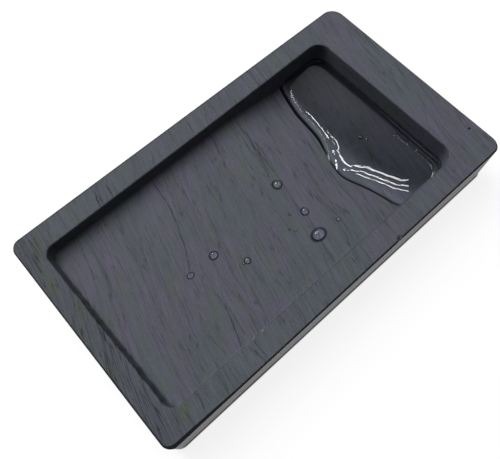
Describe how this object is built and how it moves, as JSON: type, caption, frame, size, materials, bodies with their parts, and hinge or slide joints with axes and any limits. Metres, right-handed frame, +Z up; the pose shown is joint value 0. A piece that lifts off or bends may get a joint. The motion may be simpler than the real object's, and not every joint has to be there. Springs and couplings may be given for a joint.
{
  "type": "ink stone",
  "caption": "Rectangular ink stone: one slab of dark slate with a flat rim, a sunk grinding floor and a ramp down to a well, shown with water in the well and drops on the floor.",
  "frame": {"origin": "centre of the flat underside, on the surface that the stone rests on", "axes": "+Z up, +Y along the length from the grinding end to the well end, +X across the width"},
  "size_m": [0.0754, 0.135, 0.018],
  "materials": {
    "slate": "fine honed, veined",
    "water": "clear, still water"
  },
  "bodies": {
    "root": {"stone_slab": "slate", "water_pool": "water", "water_drop_1": "water", "water_drop_2": "water", "water_drop_3": "water", "water_drop_4": "water", "water_drop_5": "water", "water_drop_6": "water", "water_drop_7": "water", "water_drop_8": "water", "water_drop_9": "water", "water_drop_10": "water", "water_drop_11": "water", "water_drop_12": "water"}
  },
  "joints": []
}
